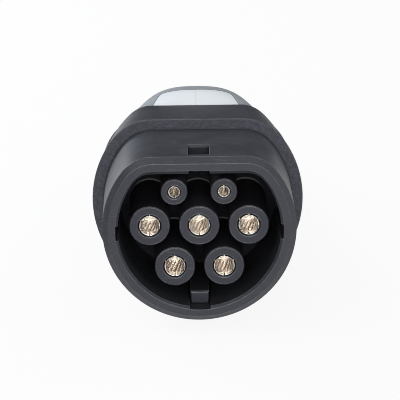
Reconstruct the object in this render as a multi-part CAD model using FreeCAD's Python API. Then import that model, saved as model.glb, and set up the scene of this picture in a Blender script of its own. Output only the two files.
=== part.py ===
# Vehicle-side connector of an EV charging cable, with seven socket contacts in a D-shaped shroud.
# Millimetres. The origin is the centre of the earth contact at the plane of the shroud's rim.
# The open front faces -Y, the handle runs towards +Y, and +Z is up, on the flat side of the D.
import FreeCAD, Part
import math
import os

# Contact layout on the mating face
contact_pitch = 16.0
lower_row_drop = contact_pitch * math.sin(math.radians(60.0))
signal_spacing = 16.0
signal_height = 11.3

# Core line: a circle cut by a flat, with rounded corners, from which the walls are offset
core_radius = 25.6
core_flat = 18.4
core_corner = 7.0

# Shroud round the core line
shroud_wall = 5.6
shroud_draft = 0.2
shroud_length = 34.0
rim_bevel = 1.9
rim_bevel_length = 2.0

# Cavity, whose mouth opens wider at the flat than round the circle
cavity_radius = 26.2
cavity_flat = 18.65
cavity_corner = 7.0
cavity_depth = 35.3
mouth_bevel = 0.75
mouth_bevel_top = 1.25
mouth_bevel_length = 0.9

# Key grooves in the wall of the cavity
groove_depth = 0.85
side_groove_height = 4.9
side_groove_centre = -0.9
side_groove_setback = 2.0
end_groove_width = 6.8
top_groove_depth = 1.1

# Lock window in the top of the shroud
window_width = 6.9
window_start = 4.1
window_length = 11.2
window_chamfer = 0.72

# Collar behind the shroud, which tapers towards the handle
collar_length = 22.0
collar_round = 0.3
collar_front_radius = 35.3
collar_front_flat = 27.8
collar_front_corner = 17.0
collar_rear_radius = 32.8
collar_rear_flat = 26.8
collar_rear_corner = 10.5

# Hollow rear of the collar, which takes the carrier and the neck of the handle
ledge_width = 1.6
carrier_clearance = 0.15
socket_wall_offset = 4.0
neck_clearance = 0.15
neck_wall = 2.6
snap_height = 0.8
snap_length = 1.5
snap_setback = 3.5
seal_groove_depth = 0.9
seal_width = 1.6
seal_clearance = 0.1
gasket_setback = 8.0

# Contact carrier
tower_recess = 5.0
tower_draft = 0.15
tower_edge = 0.3
tower_root = 0.4
hole_bevel = 0.25
carrier_flange_length = 4.5
carrier_step_length = 2.0
carrier_length = 16.0
barrel_wall = 1.1
key_width = 6.0
key_front = 6.0
key_height = 4.1
key_clearance = 0.15
key_bevel = 0.4

# Retaining plate behind the carrier
retainer_thickness = 3.0
retainer_clearance = 0.25
retainer_screw_boss = 3.2
retainer_screw_side = 19.5
retainer_screw_drop = 12.0
retainer_screw_top = 14.8

# Turned sockets: power pins are 6 mm and signal pins are 3 mm in diameter
socket_setback = 0.25
socket_fit = 0.05
nose_length = 0.8
flange_length = 2.0
crimp_length = 10.0
crimp_bore_setback = 1.0
power = {
    "tower": 6.5,
    "bore": 3.05,
    "nose": 3.3,
    "sleeve": 3.6,
    "hole": 3.75,
    "body": 4.1,
    "flange": 5.0,
    "crimp": 3.4,
    "crimp_bore": 2.35,
    "depth": 25.5,
    "slots": 6,
    "strips": 18,
}
signal = {
    "tower": 4.28,
    "bore": 1.55,
    "nose": 1.83,
    "sleeve": 2.05,
    "hole": 2.2,
    "body": 2.4,
    "flange": 3.0,
    "crimp": 1.8,
    "crimp_bore": 1.1,
    "depth": 20.0,
    "slots": 4,
    "strips": 12,
}
sleeve_length = 21.0
slot_width = 0.3
slot_length = 5.0
socket_mouth_bevel = 0.15
crimp_window_radius = 0.7
crimp_window_setback = 4.5

# Louvre cage sprung into each socket
cage_setback = 2.6
cage_length = 13.15
cage_ring = 1.2
cage_seat_depth = 0.35
cage_wall_share = 0.8
cage_gap = 0.03
cage_inner_gap = 0.1
cage_twist = 31.0
cage_fill = 0.62
cage_bends = 2

# Coding resistor on the back of the retaining plate
resistor_radius = 1.3
resistor_length = 6.4
resistor_height = 7.4
resistor_end_gap = 0.2
resistor_lead_radius = 0.3
resistor_lead_length = 2.4
cradle_wall = 1.0
cradle_root = 0.5
cradle_rise = 0.2

# Handle: its sections change smoothly from the collar to the cable gland
handle_wall = 2.6
handle_power = 2.7
handle_front_gap = 0.2
handle_length = 108.8
handle_section_count = 12
handle_outline_points = 28
handle_section_crowding = 1.4
handle_drop = 17.0
handle_waist_front = 24.5
handle_waist_rear = 18.5
handle_flare = 8.2
handle_flare_length = 7.5
handle_flare_power = 1.4
handle_crown = 31.0
handle_rear_top = -0.8
handle_crown_length = 44.0
handle_crown_power = 3.0
handle_dip = 5.0
handle_dip_length = 6.5
handle_front_bottom = -32.2
handle_rear_bottom = -35.0
handle_grip_lift = 2.0
handle_grip_middle = 95.0
handle_grip_length = 28.0
seam_gap = 0.2
front_bulkhead = 2.5
rear_bulkhead = 5.0
grip_groove_count = 7
grip_groove_pitch = 7.0
grip_groove_width = 2.4
grip_groove_depth = 0.9
grip_groove_start = 88.0
grip_groove_top = 3.0
grip_groove_bottom = 14.0

# Screws that close the handle, as pairs of (place, distance from the middle)
shell_screw_pairs = [(77.0, 15.0), (112.0, 13.0), (152.0, 11.9)]
boss_radius = 3.0
screw_radius = 1.45
screw_fit = 0.1
screw_head_radius = 2.6
screw_head_gap = 0.2
screw_head_length = 2.0
screw_head_depth = 5.0
screw_reach = 9.0
screw_tip_gap = 0.5
drive_radius = 1.1
drive_depth = 1.2

# Label plate let into the top of the handle
label_thickness = 0.35
label_recess = 0.45
label_margin = 0.15
label_front = 57.2
label_rear = 65.8
label_front_half_width = 15.5
label_rear_half_width = 12.0
label_corner = 2.0

# Cable clamp inside the handle
cable_radius = 8.75
clamp_start = 128.0
clamp_length = 10.0
clamp_half_width = 15.0
clamp_corner = 2.0
clamp_seat = 2.0
clamp_rise = 11.5
clamp_screw_side = 12.2
clamp_post_radius = 2.7
clamp_cradle_drop = 4.0

# Cable gland
gland_thread_radius = 12.0
gland_flange_radius = 13.6
gland_flange_length = 3.5
gland_thread_length = 12.0
gland_bore = 10.8
gland_fit = 0.12
nut_hex_flats = 29.6
nut_radius = 16.2
nut_gap = 0.8
nut_edge = 0.8
nut_hex_length = 14.0
nut_hex_bevel = 1.2
nut_hex_step = 1.6
nut_length = 26.0
nut_nose_radius = 12.4
nut_nose_swell = 1.0
nut_nose_length = 2.2
nut_nose_bevel = 0.6
nut_hole_radius = 9.6
nut_end_gap = 0.2
seal_length = 15.0
claw_fingers = 10
claw_slit = 0.9
claw_tip_wall = 0.7
claw_ring_length = 1.6

rim_flat = core_flat + shroud_wall
collar_start = shroud_length
collar_end = collar_start + collar_length
carrier_start = cavity_depth
carrier_flange_end = carrier_start + carrier_flange_length
carrier_step_end = carrier_flange_end + carrier_step_length
carrier_end = carrier_start + carrier_length
retainer_end = carrier_end + retainer_thickness
bore_offset = ledge_width + carrier_clearance
neck_start = carrier_step_end + handle_front_gap
neck_offset = socket_wall_offset - neck_clearance
handle_front = collar_end + handle_front_gap
handle_rear = handle_front + handle_length
gland_height = -handle_drop
screw_clear_radius = screw_radius + screw_fit

# How far cutters and joined pieces run past a face, and a length beyond everything
overrun = 1.0
seam_overrun = 20.0
reach = 100.0
tolerance = 1e-4

power_places = {
    "l1": (-contact_pitch, 0.0),
    "earth": (0.0, 0.0),
    "neutral": (contact_pitch, 0.0),
    "l2": (-contact_pitch / 2, -lower_row_drop),
    "l3": (contact_pitch / 2, -lower_row_drop),
}
signal_places = {
    "proximity": (-signal_spacing / 2, signal_height),
    "pilot": (signal_spacing / 2, signal_height),
}
contacts = [(name, place, power) for name, place in power_places.items()]
contacts += [(name, place, signal) for name, place in signal_places.items()]


def vec(x, y, z):
    return FreeCAD.Vector(x, y, z)


def rod(radius, start, end, place=(0.0, 0.0)):
    """Cylinder along Y between two places, with its axis at (x, z)."""
    return Part.makeCylinder(radius, end - start, vec(place[0], start, place[1]), vec(0, 1, 0))


def cone(start_radius, end_radius, start, end, place=(0.0, 0.0)):
    """Cone along Y between two places, with its axis at (x, z)."""
    base = vec(place[0], start, place[1])
    return Part.makeCone(start_radius, end_radius, end - start, base, vec(0, 1, 0))


def post(radius, place, side, low, high):
    """Upright cylinder between two heights."""
    return Part.makeCylinder(radius, high - low, vec(side, place, low), vec(0, 0, 1))


def block(x, y, z):
    """Box from three (low, high) pairs."""
    return Part.makeBox(x[1] - x[0], y[1] - y[0], z[1] - z[0], vec(x[0], y[0], z[0]))


def d_outline(radius, flat, corner, y):
    """Circle cut by a flat, with rounded corners, in the plane at one place along Y."""
    rise = flat - corner
    side = math.sqrt((radius - corner) ** 2 - rise ** 2)
    grow = radius / (radius - corner)
    join = (side * grow, rise * grow)
    lean = math.atan2(rise, side)
    middle_angle = (lean + math.pi / 2) / 2
    middle = (side + corner * math.cos(middle_angle), rise + corner * math.sin(middle_angle))
    top = Part.LineSegment(vec(-side, y, flat), vec(side, y, flat)).toShape()
    right = Part.Arc(vec(side, y, flat), vec(middle[0], y, middle[1]), vec(join[0], y, join[1])).toShape()
    below = Part.Arc(vec(join[0], y, join[1]), vec(0, y, -radius), vec(-join[0], y, join[1])).toShape()
    left = Part.Arc(vec(-join[0], y, join[1]), vec(-middle[0], y, middle[1]), vec(-side, y, flat)).toShape()
    return Part.Wire([top, right, below, left])


def d_wire(offset, y):
    """Core line, grown evenly by an offset."""
    return d_outline(core_radius + offset, core_flat + offset, core_corner + offset, y)


def d_block(offset, start, end):
    """D-shaped prism from one place to another."""
    return Part.Face(d_wire(offset, start)).extrude(vec(0, end - start, 0))


def d_taper(start_offset, end_offset, start, end):
    """D-shaped prism that grows or shrinks along its length."""
    return Part.makeLoft([d_wire(start_offset, start), d_wire(end_offset, end)], True, True)


def d_ring(outer_offset, inner_offset, start, end):
    return d_block(outer_offset, start, end).cut(d_block(inner_offset, start, end))


def cavity_wire(side_grow, top_grow, y):
    """Outline of the cavity, grown round the circle and at the flat."""
    return d_outline(cavity_radius + side_grow, cavity_flat + top_grow, cavity_corner + side_grow, y)


def cavity_block(grow, start, end):
    """Prism of the cavity, grown evenly."""
    return Part.Face(cavity_wire(grow, grow, start)).extrude(vec(0, end - start, 0))


def mouth():
    """Bevelled entry, which narrows to the cavity's own outline."""
    stretch = 1 + overrun / mouth_bevel_length
    wide = cavity_wire(mouth_bevel * stretch, mouth_bevel_top * stretch, -overrun)
    return Part.makeLoft([wide, cavity_wire(0.0, 0.0, mouth_bevel_length)], True, True)


def rounded_edges(shape, radius, place):
    """Round the outline edges that lie in the plane at one place along Y."""
    edges = []
    for edge in shape.Edges:
        box = edge.BoundBox
        if abs(box.YMin - place) < tolerance and abs(box.YMax - place) < tolerance:
            edges.append(edge)
    return shape.makeFillet(radius, edges)


def shroud():
    """Outside of the shroud, with a crisp bevel round its rim."""
    bevel = d_taper(shroud_wall - rim_bevel, shroud_wall, 0.0, rim_bevel_length)
    barrel = d_taper(shroud_wall, shroud_wall + shroud_draft, rim_bevel_length, shroud_length + overrun)
    return bevel.fuse(barrel)


def collar():
    """Outside of the collar: soft corners in front, and narrower with tighter corners behind."""
    front = d_outline(collar_front_radius, collar_front_flat, collar_front_corner, collar_start)
    rear = d_outline(collar_rear_radius, collar_rear_flat, collar_rear_corner, collar_end)
    taper = Part.makeLoft([front, rear], True, True)
    taper = rounded_edges(taper, collar_round, collar_start)
    return rounded_edges(taper, collar_round, collar_end)


def front_housing():
    """Shroud and collar, moulded as one piece."""
    body = shroud().fuse(collar())
    body = body.cut(cavity_block(0.0, -overrun, cavity_depth + overrun))
    body = body.cut(mouth())
    body = body.cut(d_block(bore_offset, cavity_depth, carrier_flange_end + overrun))
    body = body.cut(d_block(socket_wall_offset, carrier_flange_end, collar_end + overrun))
    snap_start = neck_start + snap_setback - neck_clearance
    snap_end = snap_start + snap_length + 2 * neck_clearance
    body = body.cut(d_block(socket_wall_offset + snap_height, snap_start, snap_end))
    return body.cut(key_grooves()).cut(lock_window())


def key_grooves():
    """Grooves at both sides and the bottom of the cavity, and a short shallow one at the top."""
    beyond = cavity_radius + groove_depth + overrun
    half_width = end_groove_width / 2
    room = cavity_block(groove_depth, -overrun, cavity_depth)
    side_low = side_groove_centre - side_groove_height / 2
    side_high = side_groove_centre + side_groove_height / 2
    side_end = cavity_depth - side_groove_setback
    sides = block((-beyond, beyond), (-overrun, side_end), (side_low, side_high)).common(room)
    bottom = block((-half_width, half_width), (-overrun, cavity_depth), (-beyond, 0.0)).common(room)
    top_room = cavity_block(top_groove_depth, -overrun, window_start)
    top = block((-half_width, half_width), (-overrun, window_start), (0.0, rim_flat)).common(top_room)
    return sides.fuse([bottom, top])


def lock_window():
    """Slot for the lock bolt, with its far edge bevelled towards the outside."""
    low = cavity_flat - overrun
    high = rim_flat + shroud_draft + overrun
    corner = rim_flat - window_chamfer
    left = -window_width / 2
    end = window_start + window_length
    outline = [
        vec(left, window_start, low),
        vec(left, end, low),
        vec(left, end, corner),
        vec(left, end + high - corner, high),
        vec(left, window_start, high),
    ]
    return Part.Face(Part.makePolygon(outline + [outline[0]])).extrude(vec(window_width, 0, 0))


def tower(kind, place):
    """Round tower with a little draft, a small bevel at its front edge and a wider root."""
    edge_end = tower_recess + tower_edge
    edge = cone(kind["tower"] - tower_edge, kind["tower"], tower_recess, edge_end, place)
    shank = cone(kind["tower"], kind["tower"] + tower_draft, edge_end, carrier_start + overrun, place)
    root_length = tower_draft + tower_root
    widest = kind["tower"] + root_length + overrun
    root = cone(kind["tower"], widest, carrier_start - root_length, carrier_start + overrun, place)
    return edge.fuse([shank, root])


def carrier_hole(kind, place):
    """Stepped hole for one socket: sleeve, body and flange, with a bevelled mouth."""
    step = tower_recess + socket_setback + sleeve_length
    flange_start = carrier_end - flange_length
    mouth = cone(kind["hole"] + hole_bevel, kind["hole"], tower_recess, tower_recess + hole_bevel, place)
    sleeve = rod(kind["hole"], tower_recess - overrun, step, place)
    body = rod(kind["body"] + socket_fit, step, flange_start, place)
    flange = rod(kind["flange"] + socket_fit, flange_start, carrier_end + overrun, place)
    return sleeve.fuse([mouth, body, flange])


def retainer_screw_places():
    low = -retainer_screw_drop
    return [(-retainer_screw_side, low), (retainer_screw_side, low), (0.0, retainer_screw_top)]


def contact_carrier():
    """Insulating block with a tower round each socket and the key rib at the bottom."""
    flange = d_block(ledge_width, carrier_start, carrier_flange_end)
    pieces = [d_block(neck_offset, carrier_flange_end, carrier_step_end)]
    holes = []
    for name, place, kind in contacts:
        pieces.append(tower(kind, place))
        pieces.append(rod(kind["flange"] + barrel_wall, carrier_start + overrun, carrier_end, place))
        holes.append(carrier_hole(kind, place))
    for place in retainer_screw_places():
        pieces.append(rod(retainer_screw_boss, carrier_start + overrun, carrier_end, place))
        holes.append(rod(screw_clear_radius, carrier_end - screw_reach, carrier_end + overrun, place))
    pieces.append(key_rib())
    body = flange.fuse(pieces)
    body = body.cut(Part.makeCompound(holes))
    groove_start = carrier_start + (carrier_flange_length - seal_width) / 2
    groove_floor = ledge_width - seal_groove_depth
    groove = d_ring(ledge_width + overrun, groove_floor, groove_start, groove_start + seal_width)
    return body.cut(groove)


def key_rib():
    """Rib under the towers, which fills the lower key groove behind its mouth."""
    radius = cavity_radius + groove_depth - key_clearance
    half_width = key_width / 2
    rib_end = carrier_start + overrun
    rib = block((-half_width, half_width), (key_front, rib_end), (-radius, -radius + key_height))
    front = []
    for edge in rib.Edges:
        box = edge.BoundBox
        if abs(box.YMax - key_front) < tolerance and box.ZMax > -radius + tolerance:
            front.append(edge)
    rib = rib.makeChamfer(key_bevel, front)
    return rib.common(cavity_block(groove_depth - key_clearance, 0.0, rib_end))


def carrier_seal():
    start = carrier_start + (carrier_flange_length - seal_width) / 2 + seal_clearance
    end = start + seal_width - 2 * seal_clearance
    inner = ledge_width - seal_groove_depth + seal_clearance
    return d_ring(ledge_width + carrier_clearance / 2, inner, start, end)


def contact_retainer():
    """Plate behind the carrier, with a hole for each crimp barrel and a cradle for the resistor."""
    plate = d_block(neck_offset - neck_wall - retainer_clearance, carrier_end, retainer_end)
    cradle_half = resistor_length / 2
    cradle_side = resistor_radius + cradle_wall
    cradle = block(
        (-cradle_half, cradle_half),
        (retainer_end - cradle_root, retainer_end + resistor_radius + cradle_rise),
        (resistor_height - cradle_side, resistor_height + cradle_side),
    )
    plate = plate.fuse(cradle)
    holes = [resistor_body(socket_fit, resistor_length)]
    for name, place, kind in contacts:
        holes.append(rod(kind["crimp"] + socket_fit, carrier_end - overrun, retainer_end + overrun, place))
    for place in retainer_screw_places():
        hole = rod(screw_clear_radius, carrier_end - overrun, retainer_end + overrun, place)
        head_start = retainer_end - screw_head_length
        head = rod(screw_head_radius + screw_fit, head_start, retainer_end + overrun, place)
        holes.append(hole.fuse(head))
    return plate.cut(Part.makeCompound(holes))


def screw(base, towards, shank_length):
    """Screw whose head stands on a point and whose shank runs from it in one direction."""
    head = Part.makeCylinder(screw_head_radius, screw_head_length, base, towards * -1)
    shank = Part.makeCylinder(screw_radius, shank_length, base, towards)
    top = base - towards * screw_head_length
    drive = Part.makeCylinder(drive_radius, drive_depth, top, towards)
    return head.fuse(shank).cut(drive)


def retainer_screws():
    length = screw_reach + retainer_thickness - screw_head_length - screw_tip_gap
    forward = vec(0, -1, 0)
    seat = retainer_end - screw_head_length
    return [screw(vec(x, seat, z), forward, length) for x, z in retainer_screw_places()]


def resistor_body(gap, length):
    centre = vec(-length / 2, retainer_end + resistor_radius, resistor_height)
    return Part.makeCylinder(resistor_radius + gap, length, centre, vec(1, 0, 0))


def coding_resistor():
    """Small resistor that tells the vehicle the cable's rating, with its two leads."""
    body = resistor_body(0.0, resistor_length - 2 * resistor_end_gap)
    total = resistor_length + 2 * resistor_lead_length
    start = vec(-total / 2, retainer_end + resistor_radius, resistor_height)
    lead = Part.makeCylinder(resistor_lead_radius, total, start, vec(1, 0, 0))
    return body.fuse(lead)


def socket(kind, place):
    """Turned socket: slotted sleeve with a tapered nose, body, flange and crimp barrel."""
    front = tower_recess + socket_setback
    nose_end = front + nose_length
    step = front + sleeve_length
    flange_start = carrier_end - flange_length
    crimp_end = carrier_end + crimp_length
    outside = cone(kind["nose"], kind["sleeve"], front, nose_end, place)
    outside = outside.fuse([
        rod(kind["sleeve"], nose_end, step, place),
        rod(kind["body"], step, flange_start, place),
        rod(kind["flange"], flange_start, carrier_end, place),
        rod(kind["crimp"], carrier_end, crimp_end, place),
    ])
    mouth_end = front + socket_mouth_bevel
    cage_start = front + cage_setback
    window_place = carrier_end + crimp_window_setback
    inside = rod(kind["bore"], front - overrun, front + kind["depth"], place)
    inside = inside.fuse([
        cone(kind["bore"] + socket_mouth_bevel, kind["bore"], front, mouth_end, place),
        rod(kind["bore"] + cage_seat(kind), cage_start, cage_start + cage_length, place),
        rod(kind["crimp_bore"], carrier_end + crimp_bore_setback, crimp_end + overrun, place),
        post(crimp_window_radius, window_place, place[0], place[1], place[1] + kind["flange"]),
    ])
    return outside.cut(inside).cut(sleeve_slots(kind, place))


def sleeve_slots(kind, place):
    """Slits that cut the front of the sleeve into fingers."""
    front = tower_recess + socket_setback
    slots = []
    for index in range(kind["slots"] // 2):
        slot = block(
            (-kind["flange"], kind["flange"]),
            (front - overrun, front + slot_length),
            (-slot_width / 2, slot_width / 2),
        )
        slot.rotate(vec(0, 0, 0), vec(0, 1, 0), 90.0 + index * 360.0 / kind["slots"])
        slot.translate(vec(place[0], 0, place[1]))
        slots.append(slot)
    return slots[0].fuse(slots[1:])


def cage_seat(kind):
    """Depth of the seat that holds the cage, kept inside the sleeve's wall."""
    return min(cage_seat_depth, (kind["sleeve"] - kind["bore"]) * cage_wall_share)


def louvre_cage(kind, place):
    """Spring cage of slanted strips between two rings: one stamped strip, rolled up flat by flat."""
    outer = kind["bore"] + cage_seat(kind) - cage_gap
    inner = kind["bore"] + cage_inner_gap
    front = tower_recess + socket_setback + cage_setback + cage_gap
    rear = front + cage_length - 2 * cage_gap
    strip_start = front + cage_ring
    strip_end = rear - cage_ring
    pitch = 2 * math.pi / kind["strips"]
    half = pitch * cage_fill / 2
    turn = math.radians(cage_twist)

    def corner(radius, index, side, y):
        share = min(max((y - strip_start) / (strip_end - strip_start), 0.0), 1.0)
        angle = index * pitch + side * half + turn * share
        return vec(place[0] + radius * math.cos(angle), y, place[1] + radius * math.sin(angle))

    def flat(*points):
        return Part.Face(Part.makePolygon(list(points) + [points[0]]))

    def bent(a, b, c, d):
        return [flat(a, b, c), flat(a, c, d)]

    def edge_flats(y, first, second):
        return flat(corner(inner, *first, y), corner(outer, *first, y),
                    corner(outer, *second, y), corner(inner, *second, y))

    faces = []
    ring_spans = ((front, strip_start), (strip_end, rear))
    bend_places = [strip_start + (strip_end - strip_start) * n / cage_bends for n in range(cage_bends + 1)]
    for index in range(kind["strips"]):
        for near, far in ring_spans:
            for radius in (inner, outer):
                faces.append(flat(
                    corner(radius, index, -1, near), corner(radius, index, 1, near),
                    corner(radius, index, 1, far), corner(radius, index, -1, far),
                ))
                faces.append(flat(
                    corner(radius, index, 1, near), corner(radius, index + 1, -1, near),
                    corner(radius, index + 1, -1, far), corner(radius, index, 1, far),
                ))
        for y in (front, strip_start, strip_end, rear):
            faces.append(edge_flats(y, (index, 1), (index + 1, -1)))
        for y in (front, rear):
            faces.append(edge_flats(y, (index, -1), (index, 1)))
        for near, far in zip(bend_places, bend_places[1:]):
            for radius in (inner, outer):
                faces += bent(
                    corner(radius, index, -1, near), corner(radius, index, 1, near),
                    corner(radius, index, 1, far), corner(radius, index, -1, far),
                )
            for side in (-1, 1):
                faces += bent(
                    corner(inner, index, side, near), corner(outer, index, side, near),
                    corner(outer, index, side, far), corner(inner, index, side, far),
                )
    shell = Part.Shell(faces)
    shell.sewShape()
    solid = Part.Solid(shell)
    if solid.Volume < 0:
        solid.reverse()
    return solid


def handle_section(y):
    """Centre height, half width, top and bottom of the handle at one place."""
    share = min(max((y - handle_front) / handle_length, 0.0), 1.0)
    run = share * handle_length
    centre = -handle_drop * share ** 2 * (3 - 2 * share)
    flare = handle_flare * math.exp(-(run / handle_flare_length) ** handle_flare_power)
    half_width = handle_waist_front + (handle_waist_rear - handle_waist_front) * share + flare
    crown = (handle_crown - handle_rear_top) / (1 + (run / handle_crown_length) ** handle_crown_power)
    top = handle_rear_top + crown - handle_dip * math.exp(-(run / handle_dip_length) ** handle_flare_power)
    lift = handle_grip_lift * math.exp(-((y - handle_grip_middle) / handle_grip_length) ** 2)
    bottom = handle_front_bottom + (handle_rear_bottom - handle_front_bottom) * share + lift
    return centre, half_width, top, bottom


def seam_height(y):
    return handle_section(y)[0]


def section_places():
    steps = [index / (handle_section_count - 1) for index in range(handle_section_count)]
    return [handle_front + handle_length * step ** handle_section_crowding for step in steps]


def oval_wire(y, inset):
    """Closed outline of the handle at one place, moved inwards by an inset."""
    centre, half_width, top, bottom = handle_section(y)
    up = top - centre - inset
    down = centre - bottom - inset
    wide = half_width - inset
    points = []
    for index in range(handle_outline_points):
        angle = 2 * math.pi * index / handle_outline_points
        c = math.cos(angle)
        s = math.sin(angle)
        x = math.copysign(abs(c) ** (2 / handle_power), c) * wide
        z = math.copysign(abs(s) ** (2 / handle_power), s) * (up if s > 0 else down)
        points.append(vec(x, y, centre + z))
    curve = Part.BSplineCurve()
    curve.interpolate(Points=points, PeriodicFlag=True)
    return Part.Wire(curve.toShape())


def handle_loft(inset):
    return Part.makeLoft([oval_wire(y, inset) for y in section_places()], True, False)


def below_seam(lift):
    """Everything under the seam of the handle, which follows the centre of its sections."""
    points = [vec(0, neck_start - seam_overrun, lift)]
    points += [vec(0, y, seam_height(y) + lift) for y in section_places()]
    points.append(vec(0, handle_rear + seam_overrun, gland_height + lift))
    curve = Part.BSplineCurve()
    curve.interpolate(points)
    low_rear = vec(0, points[-1].y, -reach)
    low_front = vec(0, points[0].y, -reach)
    outline = Part.Wire([
        curve.toShape(),
        Part.LineSegment(points[-1], low_rear).toShape(),
        Part.LineSegment(low_rear, low_front).toShape(),
        Part.LineSegment(low_front, points[0]).toShape(),
    ])
    half = Part.Face(outline).extrude(vec(reach, 0, 0))
    half.translate(vec(-reach / 2, 0, 0))
    return half


def label_column(margin):
    """Upright prism with the label's plan: narrower at the rear, with round rear corners."""
    front = label_front - margin
    rear = label_rear + margin
    wide = label_front_half_width + margin
    narrow = label_rear_half_width + margin
    points = [vec(-wide, front, 0), vec(wide, front, 0), vec(narrow, rear, 0), vec(-narrow, rear, 0)]
    column = Part.Face(Part.makePolygon(points + [points[0]])).extrude(vec(0, 0, reach))
    corners = []
    for edge in column.Edges:
        box = edge.BoundBox
        if abs(box.YMin - rear) < tolerance and box.ZLength > tolerance:
            corners.append(edge)
    return column.makeFillet(label_corner, corners)


def shell_screw_places():
    return [(y, side) for y, x in shell_screw_pairs for side in (-x, x)]


def clamp_screw_places():
    middle = clamp_start + clamp_length / 2
    return [(middle, side) for side in (-clamp_screw_side, clamp_screw_side)]


def handle_body():
    """Both handle halves as one shell, with its bulkheads and screw bosses, before it is split."""
    front_end = handle_front + front_bulkhead
    rear_start = handle_rear - rear_bulkhead
    inside = block((-reach, reach), (front_end, rear_start), (-reach, reach))
    room = handle_loft(handle_wall).common(inside)
    bosses = [post(boss_radius, y, x, -reach / 2, reach / 2) for y, x in shell_screw_places()]
    clamp_top = gland_height + clamp_seat
    posts = [post(clamp_post_radius, y, x, -reach / 2, clamp_top) for y, x in clamp_screw_places()]
    cradle = block(
        (-clamp_screw_side, clamp_screw_side),
        (clamp_start, clamp_start + clamp_length),
        (-reach / 2, gland_height - clamp_cradle_drop),
    )
    axis = (0.0, gland_height)
    fill = cradle.fuse(bosses + posts)
    fill = fill.cut(rod(cable_radius, clamp_start - overrun, clamp_start + clamp_length + overrun, axis))
    fill = fill.common(room)
    shell = handle_loft(0.0).cut(room).fuse([fill, handle_neck()])
    shell = shell.cut(d_block(neck_offset - neck_wall, neck_start - overrun, front_end + overrun))
    return shell.cut(rod(gland_thread_radius + gland_fit, rear_start - overrun, handle_rear + overrun, axis))


def handle_neck():
    """Tube that plugs into the collar, with its snap bead and the groove for the gasket."""
    neck = d_block(neck_offset, neck_start, handle_front + overrun)
    snap_start = neck_start + snap_setback
    neck = neck.fuse(d_block(neck_offset + snap_height, snap_start, snap_start + snap_length))
    groove_start = collar_end - gasket_setback + neck_clearance
    groove_floor = neck_offset - seal_groove_depth
    return neck.cut(d_ring(neck_offset + overrun, groove_floor, groove_start, groove_start + seal_width))


def grip_grooves():
    """Shallow grooves across the sides of the lower half."""
    cutters = []
    for index in range(grip_groove_count):
        y = grip_groove_start + index * grip_groove_pitch
        seam = seam_height(y)
        heights = (seam - grip_groove_bottom, seam - grip_groove_top)
        cutters.append(block((-reach, reach), (y, y + grip_groove_width), heights))
    band = cutters[0].fuse(cutters[1:])
    return band.cut(handle_loft(grip_groove_depth))


def screw_seat(place, side):
    """Height of the shoulder under one screw head, measured from the skin below it."""
    centre, half_width, _, bottom = handle_section(place)
    across = (1 - (abs(side) / half_width) ** handle_power) ** (1 / handle_power)
    return centre - (centre - bottom) * across + screw_head_depth


def screw_cuts():
    """Head recess and clearance hole of each screw in the lower half."""
    cuts = []
    for y, x in shell_screw_places():
        seat = screw_seat(y, x)
        cuts.append(post(screw_head_radius + screw_head_gap, y, x, -reach, seat))
        cuts.append(post(screw_clear_radius, y, x, seat - overrun, reach))
    return Part.makeCompound(cuts)


def handle_lower(body):
    lower = body.common(below_seam(0.0))
    lower = lower.cut(screw_cuts()).cut(grip_grooves())
    top = gland_height + clamp_seat
    holes = [post(screw_clear_radius, y, x, top - screw_reach, top + overrun) for y, x in clamp_screw_places()]
    return lower.cut(Part.makeCompound(holes))


def handle_upper(body):
    upper = body.cut(below_seam(seam_gap))
    pilots = []
    for y, x in shell_screw_places():
        seam = seam_height(y)
        pilots.append(post(screw_clear_radius, y, x, seam - overrun, seam + screw_reach + screw_tip_gap))
    upper = upper.cut(Part.makeCompound(pilots))
    return upper.cut(label_column(label_margin).cut(handle_loft(label_recess)))


def label_plate():
    plate = label_column(0.0).common(handle_loft(label_recess - label_thickness))
    return plate.cut(handle_loft(label_recess))


def shell_screws():
    screws = []
    for y, x in shell_screw_places():
        seat = screw_seat(y, x)
        screws.append(screw(vec(x, y, seat), vec(0, 0, 1), seam_height(y) + screw_reach - seat))
    return screws


def housing_gasket():
    start = collar_end - gasket_setback + neck_clearance + seal_clearance
    end = start + seal_width - 2 * seal_clearance
    inner = neck_offset - seal_groove_depth + seal_clearance
    return d_ring(neck_offset + neck_clearance / 2, inner, start, end)


def cable_clamp():
    """Saddle bar with a round underside, which presses the cable into its cradle."""
    low = gland_height + clamp_seat
    clamp_end = clamp_start + clamp_length
    bar = block(
        (-clamp_half_width, clamp_half_width),
        (clamp_start, clamp_end),
        (low, gland_height + clamp_rise),
    )
    upright = [edge for edge in bar.Edges if edge.BoundBox.ZLength > tolerance]
    bar = bar.makeFillet(clamp_corner, upright)
    holes = [rod(cable_radius, clamp_start - overrun, clamp_end + overrun, (0.0, gland_height))]
    holes += [post(screw_clear_radius, y, x, low - overrun, reach) for y, x in clamp_screw_places()]
    return bar.cut(Part.makeCompound(holes))


def clamp_screws():
    top = gland_height + clamp_rise
    length = clamp_rise - clamp_seat + screw_reach - screw_tip_gap
    return [screw(vec(x, y, top), vec(0, 0, -1), length) for y, x in clamp_screw_places()]


def gland_body():
    """Threaded tube that the handle traps by its inner flange."""
    place = (0.0, gland_height)
    flange_end = handle_rear - rear_bulkhead
    flange_start = flange_end - gland_flange_length
    end = handle_rear + gland_thread_length
    tube = rod(gland_thread_radius, flange_start, end, place)
    flange = rod(gland_flange_radius, flange_start, flange_end, place)
    return tube.fuse(flange).cut(rod(gland_bore, flange_start - overrun, end + overrun, place))


def gland_seal():
    """Rubber sleeve that closes on the cable."""
    place = (0.0, gland_height)
    start = handle_rear + gland_thread_length - seal_length / 2
    end = start + seal_length
    sleeve = rod(gland_bore - gland_fit, start, end, place)
    return sleeve.cut(rod(cable_radius, start - overrun, end + overrun, place))


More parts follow.
